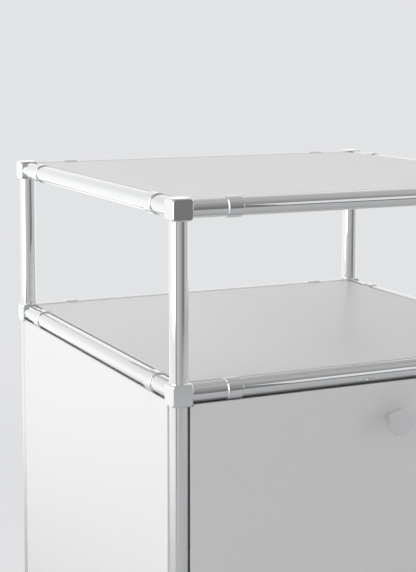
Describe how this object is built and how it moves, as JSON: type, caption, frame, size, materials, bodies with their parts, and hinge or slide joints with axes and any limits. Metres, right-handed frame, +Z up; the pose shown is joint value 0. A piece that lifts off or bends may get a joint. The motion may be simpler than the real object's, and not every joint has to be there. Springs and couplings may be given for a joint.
{
  "type": "locker cabinet",
  "caption": "Tube-frame locker cabinet: an open shelf bay over a closed bay with a drop-down flap and round knob, on levelling feet.",
  "frame": {"origin": "middle of the whole cabinet's box, knob and feet counted in, on the floor", "axes": "+Z up, -Y out of the flap, +X to the right of someone who faces the flap"},
  "size_m": [0.525, 0.5432, 0.6115],
  "materials": {
    "tube_chrome": "bright chrome plate on steel tube",
    "cube_chrome": "satin chrome plate",
    "collar_chrome": "bright chrome plate",
    "knob_chrome": "satin chrome plate",
    "foot_chrome": "satin chrome plate",
    "white_powder_coat": "fine matt powder coat",
    "zinc_steel": "zinc plate",
    "bearing_plastic": "moulded acetal",
    "catch_plastic": "moulded plastic with a magnet inside"
  },
  "bodies": {
    "frame": {"cube_bottom_front_left": "cube_chrome", "cube_bottom_front_right": "cube_chrome", "cube_bottom_rear_left": "cube_chrome", "cube_bottom_rear_right": "cube_chrome", "tube_bottom_front": "tube_chrome", "tube_bottom_rear": "tube_chrome", "tube_bottom_left": "tube_chrome", "tube_bottom_right": "tube_chrome", "collars_bottom": "collar_chrome", "cube_shelf_front_left": "cube_chrome", "cube_shelf_front_right": "cube_chrome", "cube_shelf_rear_left": "cube_chrome", "cube_shelf_rear_right": "cube_chrome", "tube_shelf_front": "tube_chrome", "tube_shelf_rear": "tube_chrome", "tube_shelf_left": "tube_chrome", "tube_shelf_right": "tube_chrome", "collars_shelf": "collar_chrome", "cube_top_front_left": "cube_chrome", "cube_top_front_right": "cube_chrome", "cube_top_rear_left": "cube_chrome", "cube_top_rear_right": "cube_chrome", "tube_top_front": "tube_chrome", "tube_top_rear": "tube_chrome", "tube_top_left": "tube_chrome", "tube_top_right": "tube_chrome", "collars_top": "collar_chrome", "post_lower_front_left": "tube_chrome", "post_lower_front_right": "tube_chrome", "post_lower_rear_left": "tube_chrome", "post_lower_rear_right": "tube_chrome", "post_upper_front_left": "tube_chrome", "post_upper_front_right": "tube_chrome", "post_upper_rear_left": "tube_chrome", "post_upper_rear_right": "tube_chrome", "top_panel": "white_powder_coat", "top_liner": "white_powder_coat", "shelf_panel": "white_powder_coat", "shelf_liner": "white_powder_coat", "bottom_panel": "white_powder_coat", "bottom_liner": "white_powder_coat", "left_panel": "white_powder_coat", "left_liner": "white_powder_coat", "right_panel": "white_powder_coat", "right_liner": "white_powder_coat", "back_panel": "white_powder_coat", "back_liner": "white_powder_coat", "tube_end_fittings": "zinc_steel", "panel_screws": "zinc_steel", "hinge_pins": "zinc_steel", "magnetic_catch": "catch_plastic"},
    "door": {"door_panel": "white_powder_coat", "door_liner": "white_powder_coat", "door_pivot_blocks": "bearing_plastic", "door_knob": "knob_chrome", "knob_screw": "zinc_steel"},
    "foot_front_left": {"foot_front_left": "foot_chrome"},
    "foot_front_right": {"foot_front_right": "foot_chrome"},
    "foot_rear_left": {"foot_rear_left": "foot_chrome"},
    "foot_rear_right": {"foot_rear_right": "foot_chrome"}
  },
  "joints": [
    {"name": "door_flap", "type": "hinge", "parent": "frame", "child": "door", "pos_m": [0, -0.23835, 0.0513], "axis": [1, 0, 0], "range_deg": [0, 90]},
    {"name": "foot_height_front_left", "type": "slide", "parent": "frame", "child": "foot_front_left", "axis": [0, 0, -1], "range_m": [0, 0.008]},
    {"name": "foot_height_front_right", "type": "slide", "parent": "frame", "child": "foot_front_right", "axis": [0, 0, -1], "range_m": [0, 0.008]},
    {"name": "foot_height_rear_left", "type": "slide", "parent": "frame", "child": "foot_rear_left", "axis": [0, 0, -1], "range_m": [0, 0.008]},
    {"name": "foot_height_rear_right", "type": "slide", "parent": "frame", "child": "foot_rear_right", "axis": [0, 0, -1], "range_m": [0, 0.008]}
  ]
}
